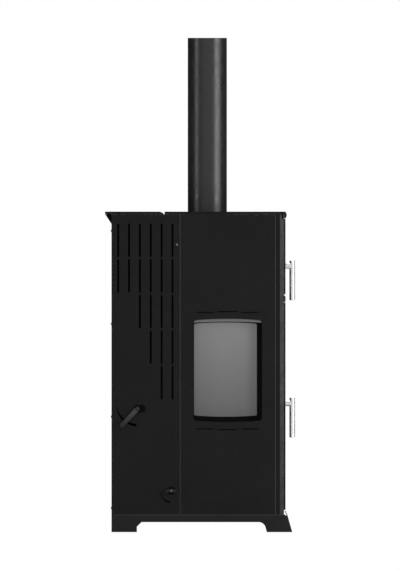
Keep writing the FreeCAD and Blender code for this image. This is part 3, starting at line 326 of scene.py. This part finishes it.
SHEET_EDGE = 0.00035
SOFT_EDGE = {
    "top_plate": 0.0012, "rear_lid": 0.0012, "rear_cap": 0.0012, "fire_door_handle": 0.0012,
    "oven_door_handle": 0.0012, "air_lever": 0.0006, "air_knob": 0.0006, "grate": 0.001,
    "side_firebricks": 0.0015, "back_firebrick": 0.0015, "hearth_bricks": 0.0015, "baffle": 0.0015,
}


def soften(piece, width):
    edges = piece.modifiers.new("broken edge", "BEVEL")
    edges.width = width
    edges.segments = 2
    return edges


for name, piece in nodes.items():
    edges = soften(piece, SOFT_EDGE.get(name, SHEET_EDGE))
    edges.limit_method = "ANGLE"
    edges.angle_limit = math.radians(40)

# Small pieces -------------------------------------------------------------


def solid(name, points, faces, material, body):
    mesh = bpy.data.meshes.new(name)
    mesh.from_pydata(points, [], faces)
    made = bpy.data.objects.new(name, mesh)
    bpy.context.collection.objects.link(made)
    made.data.materials.append(material)
    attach(made, body)
    return made


def block(name, start, end, material, body, edge=0.0003):
    """A box between two corners with broken edges."""
    points = [(x, y, z) for x in (start[0], end[0]) for y in (start[1], end[1]) for z in (start[2], end[2])]
    faces = [(0, 1, 3, 2), (4, 6, 7, 5), (0, 4, 5, 1), (2, 3, 7, 6), (0, 2, 6, 4), (1, 5, 7, 3)]
    soften(solid(name, points, faces, material, body), edge)


TURNED_STEPS = 48


def turned(name, place, profile, material, body):
    """A turned piece whose axis points to -X from place. profile is a list of (radius, reach)."""
    steps = TURNED_STEPS
    points, faces = [], []
    for radius, reach in profile:
        for i in range(steps):
            angle = 2 * math.pi * i / steps
            y = place[1] + radius * math.cos(angle)
            z = place[2] + radius * math.sin(angle)
            points.append((place[0] - reach, y, z))
    for ring in range(len(profile) - 1):
        for i in range(steps):
            a, b = ring * steps + i, ring * steps + (i + 1) % steps
            faces.append((a, a + steps, b + steps, b))
    faces.append(tuple(range(steps)))
    faces.append(tuple(reversed(range((len(profile) - 1) * steps, len(profile) * steps))))
    made = solid(name, points, faces, material, body)
    for face in made.data.polygons:
        face.use_smooth = len(face.vertices) == 4


panel_low, panel_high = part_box("left_front_panel")
cap_low, cap_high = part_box("rear_cap")
half_width = abs(panel_low[0])
casing_top = panel_high[2]
casing_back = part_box("left_rear_panel")[1][1]
corner_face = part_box("corner_profiles")[0][1]
TOP_GAUGE = 0.0082
plate_under = cap_high[2] - TOP_GAUGE

# Gaskets and tabs stop a hair short of the faces above and below them.
HAIR = 0.00002

# Steel trims cover the long edges of each door's glass. They start and end this
# far out from the glass, and stop short of its inner face.
TRIM_START, TRIM_END, TRIM_SHORT = 0.0001, 0.0013, 0.0002


def glass_trim(door, side, sign):
    low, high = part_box(f"{door}_glass")
    edge = low[0] if sign < 0 else high[0]
    start = (edge + sign * TRIM_START, low[1], low[2])
    end = (edge + sign * TRIM_END, high[1] - TRIM_SHORT, high[2])
    block(f"{door}_{side}_trim", start, end, rail, door)


# A gasket lies between the casing and its top, this far in from the casing's side,
# its front and its back.
GASKET_INSIDE, GASKET_OUTSIDE = 0.0135, 0.001
GASKET_FRONT, GASKET_BACK = 0.0002, 0.0005


def top_gasket(side, sign):
    start = (sign * (half_width - GASKET_INSIDE), corner_face + GASKET_FRONT, casing_top + HAIR)
    end = (sign * (half_width - GASKET_OUTSIDE), casing_back - GASKET_BACK, plate_under - HAIR)
    block(f"top_gasket_{side}", start, end, control, "stove", edge=HAIR)


# A tab on the cap's end covers the end of the lid's hinge line.
TAB_FRONT, TAB_BACK, TAB_GAUGE = 0.0095, 0.0025, 0.0008


def cap_tab(side, sign):
    start = (sign * half_width, cap_low[1] - TAB_FRONT, plate_under + HAIR)
    end = (sign * (half_width + TAB_GAUGE), cap_low[1] + TAB_BACK, cap_high[2] - HAIR)
    block(f"cap_tab_{side}", start, end, top_paint, "stove")


# A gusset fills the end of the flare at the top of the back panel, and its black is a painted
# shade inside the flare's end. Its faces are this far in from the casing's side, its root
# from the casing's back and its tip from the cap's back. Its foot is a height.
GUSSET_FACES = (0.010, 0.0115)
GUSSET_ROOT, GUSSET_TIP, GUSSET_FOOT = 0.001, 0.0019, 0.9622


def flare_shade_gusset(side, sign):
    root, tip = casing_back - GUSSET_ROOT, cap_high[1] - GUSSET_TIP
    flare = [(root, GUSSET_FOOT), (root, casing_top), (tip, casing_top)]
    points = [(sign * (half_width - inset), y, z) for inset in GUSSET_FACES for y, z in flare]
    faces = [(0, 1, 2), (5, 4, 3), (0, 3, 4, 1), (1, 4, 5, 2), (2, 5, 3, 0)]
    solid(f"flare_shade_gusset_{side}", points, faces, control, "stove")


# Another gasket lies behind the top's nose, on the front of the corner strips. It ends
# this far in from the casing's sides, and its foot is a height.
NOSE_INSET, NOSE_FOOT = 0.003, 0.979
NOSE_START, NOSE_END = 0.0001, 0.00035


def nose_gasket():
    start = (-half_width + NOSE_INSET, corner_face - NOSE_START, NOSE_FOOT)
    end = (half_width - NOSE_INSET, corner_face - NOSE_END, plate_under - HAIR)
    block("nose_gasket", start, end, control, "stove", edge=HAIR)


# A thin bead closes the joint between each front panel and its corner strip. Its pale paint is a painted
# highlight on the side panel's front bend.
BEAD_PROUD, BEAD_FRONT, BEAD_BACK = 0.0004, 0.0002, 0.0032
BEAD_BELOW, BEAD_ABOVE = 0.001, 0.003


def corner_bead(side, sign):
    face = sign * half_width
    start = (face - sign * BEAD_PROUD, panel_low[1] - BEAD_FRONT, panel_low[2] + BEAD_BELOW)
    end = (face + sign * BEAD_PROUD, panel_low[1] + BEAD_BACK, panel_high[2] - BEAD_ABOVE)
    block(f"{side}_corner_bead", start, end, edge_paint, "stove", edge=0.0002)


# A dark washer lies under the lever's screw, sunk a little into the hub's face.
HUB_FACE, WASHER_SUNK = -0.2469, 0.0002
WASHER_PROFILE = [(0.0066, 0.0), (0.0066, 0.0005), (0.0062, 0.0008), (0.0050, 0.0008)]


def lever_washer():
    low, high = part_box("lever_screw")
    place = (HUB_FACE + WASHER_SUNK, (low[1] + high[1]) / 2, (low[2] + high[2]) / 2)
    turned("lever_washer", place, WASHER_PROFILE, hub_paint, "air_lever")


# A bright screw holds the knob on its shaft.
SCREW_SUNK = 0.0003
SCREW_PROFILE = [(0.0028, 0.0), (0.0028, 0.0008), (0.0021, 0.0013), (0.0010, 0.0015)]


def knob_screw():
    low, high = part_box("air_knob")
    place = (low[0] + SCREW_SUNK, (low[1] + high[1]) / 2, (low[2] + high[2]) / 2)
    turned("knob_screw", place, SCREW_PROFILE, bright, "air_knob")


for door in ("fire_door", "oven_door"):
    for side, sign in SIDES:
        glass_trim(door, side, sign)
for side, sign in SIDES:
    top_gasket(side, sign)
    cap_tab(side, sign)
    flare_shade_gusset(side, sign)
nose_gasket()
for side, sign in SIDES:
    corner_bead(side, sign)
lever_washer()
knob_screw()

# Studio -------------------------------------------------------------------

FLOOR_REACH = 6.0
pale = Finish("pale floor", (0.86, 0.86, 0.86), 0.9)
pale.bump(pale.noise(40.0, detail=2.0), 0.0002)
mesh = bpy.data.meshes.new("floor")
corners = [(x * FLOOR_REACH, y * FLOOR_REACH, 0) for x, y in ((-1, -1), (1, -1), (1, 1), (-1, 1))]
mesh.from_pydata(corners, [], [(0, 1, 2, 3)])
mesh.materials.append(pale.material)
floor = bpy.data.objects.new("floor", mesh)
bpy.context.collection.objects.link(floor)

# The room is dim, with a broad bright wall on the side that the controls face, and
# white where the camera sees it, as a studio with a lit backdrop is. The wall fades
# out and the ceiling fades in between two values of the direction's X and Z.
DIM, BRIGHT, OVERHEAD, SEEN = 0.035, 0.9, 0.7, 1.0
WALL_FULL, WALL_END = -0.92, -0.62
CEILING_START, CEILING_FULL = 0.55, 0.9

world = bpy.data.worlds.new("studio")
world.use_nodes = True
tree = world.node_tree
surround = tree.nodes["Background"]
surround.inputs["Color"].default_value = (1, 1, 1, 1)
direction = tree.nodes.new("ShaderNodeSeparateXYZ")
tree.links.new(tree.nodes.new("ShaderNodeTexCoord").outputs["Generated"], direction.inputs["Vector"])
above = map_range(tree, direction.outputs["Z"], CEILING_START, CEILING_FULL, DIM, OVERHEAD)
lit = map_range(tree, direction.outputs["X"], WALL_FULL, WALL_END, BRIGHT, above)
camera_ray = tree.nodes.new("ShaderNodeLightPath").outputs["Is Camera Ray"]
tree.links.new(map_range(tree, camera_ray, 0.0, 1.0, lit, SEEN), surround.inputs["Strength"])
bpy.context.scene.world = world


def soft_light(name, place, aim_height, wide, tall, watts):
    """A rectangular light that points at the stove's middle line."""
    data = bpy.data.lights.new(name, "AREA")
    data.shape = "RECTANGLE"
    data.size, data.size_y, data.energy = wide, tall, watts
    made = bpy.data.objects.new(name, data)
    made.location = place
    aim = Vector((0, 0, aim_height)) - Vector(place)
    made.rotation_euler = aim.to_track_quat("-Z", "Y").to_euler()
    bpy.context.collection.objects.link(made)


soft_light("front soft box", (-0.92, -2.9, 1.3), aim_height=0.9, wide=0.6, tall=2.8, watts=25)
soft_light("corner soft box", (-1.9, -2.7, 1.0), aim_height=0.6, wide=0.8, tall=2.6, watts=52)
soft_light("rear soft box", (-1.3, 2.8, 1.3), aim_height=0.9, wide=0.8, tall=2.8, watts=24)
soft_light("overhead", (0.4, -0.4, 3.6), aim_height=0.9, wide=1.6, tall=1.6, watts=26)
soft_light("right fill", (2.8, 0.0, 1.5), aim_height=0.8, wide=0.6, tall=2.4, watts=34)

scene = bpy.context.scene
scene.view_settings.view_transform = "Standard"
scene.view_settings.look = "None"

# The camera looks squarely at the left side, with some white above and below.
FRAME_HEIGHT = 1.1533
CAMERA_BACK = 5.0
base = cad_box[0][2]
height = cad_box[1][2] - base
camera = bpy.data.objects.new("camera", bpy.data.cameras.new("camera"))
camera.data.type = "ORTHO"
camera.data.ortho_scale = FRAME_HEIGHT * height
camera.data.clip_end = 50.0
camera.location = (-CAMERA_BACK, 0.0, base + height / 2)
camera.rotation_euler = (math.pi / 2, 0, -math.pi / 2)
bpy.context.collection.objects.link(camera)
scene.camera = camera
